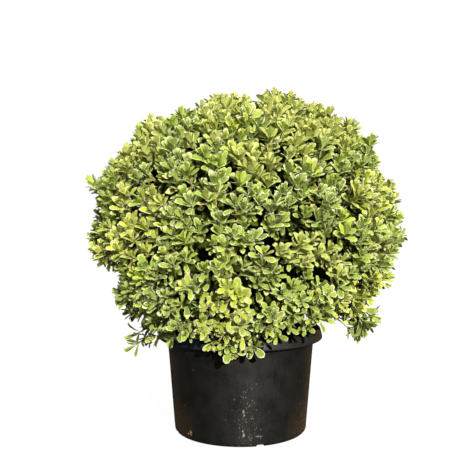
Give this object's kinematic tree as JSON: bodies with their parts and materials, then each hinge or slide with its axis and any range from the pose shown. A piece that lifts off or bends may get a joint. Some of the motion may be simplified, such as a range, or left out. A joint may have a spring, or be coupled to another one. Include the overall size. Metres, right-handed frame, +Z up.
{
  "type": "potted variegated pittosporum shrub",
  "caption": "Dense rounded evergreen shrub with cream-edged leaves, grown in a round black plastic nursery pot.",
  "frame": {"origin": "centre of the pot's flat underside", "axes": "+Z up the pot's axis; -Y towards the camera of the picture; +X to the right in it"},
  "size_m": [0.8827, 0.8383, 0.9041],
  "materials": {
    "pot": "satin",
    "soil": "matte",
    "bark": "matte",
    "foliage": "satin"
  },
  "bodies": {
    "root": {"pot": "pot", "soil": "soil", "trunk": "bark", "bough_leader": "bark", "bough_mid_1": "bark", "bough_mid_2": "bark", "bough_mid_3": "bark", "bough_mid_4": "bark", "bough_mid_5": "bark", "bough_mid_6": "bark", "bough_low_1": "bark", "bough_low_2": "bark", "bough_low_3": "bark", "bough_low_4": "bark", "bough_low_5": "bark", "bough_low_6": "bark", "bough_high_1": "bark", "bough_high_2": "bark", "bough_high_3": "bark", "bough_high_4": "bark", "bough_high_5": "bark", "bough_high_6": "bark", "foliage_top": "foliage", "foliage_high_1": "foliage", "foliage_high_2": "foliage", "foliage_high_3": "foliage", "foliage_high_4": "foliage", "foliage_high_5": "foliage", "foliage_high_6": "foliage", "foliage_mid_1": "foliage", "foliage_mid_2": "foliage", "foliage_mid_3": "foliage", "foliage_mid_4": "foliage", "foliage_mid_5": "foliage", "foliage_mid_6": "foliage", "foliage_low_1": "foliage", "foliage_low_2": "foliage", "foliage_low_3": "foliage", "foliage_low_4": "foliage", "foliage_low_5": "foliage", "foliage_low_6": "foliage"}
  },
  "joints": []
}
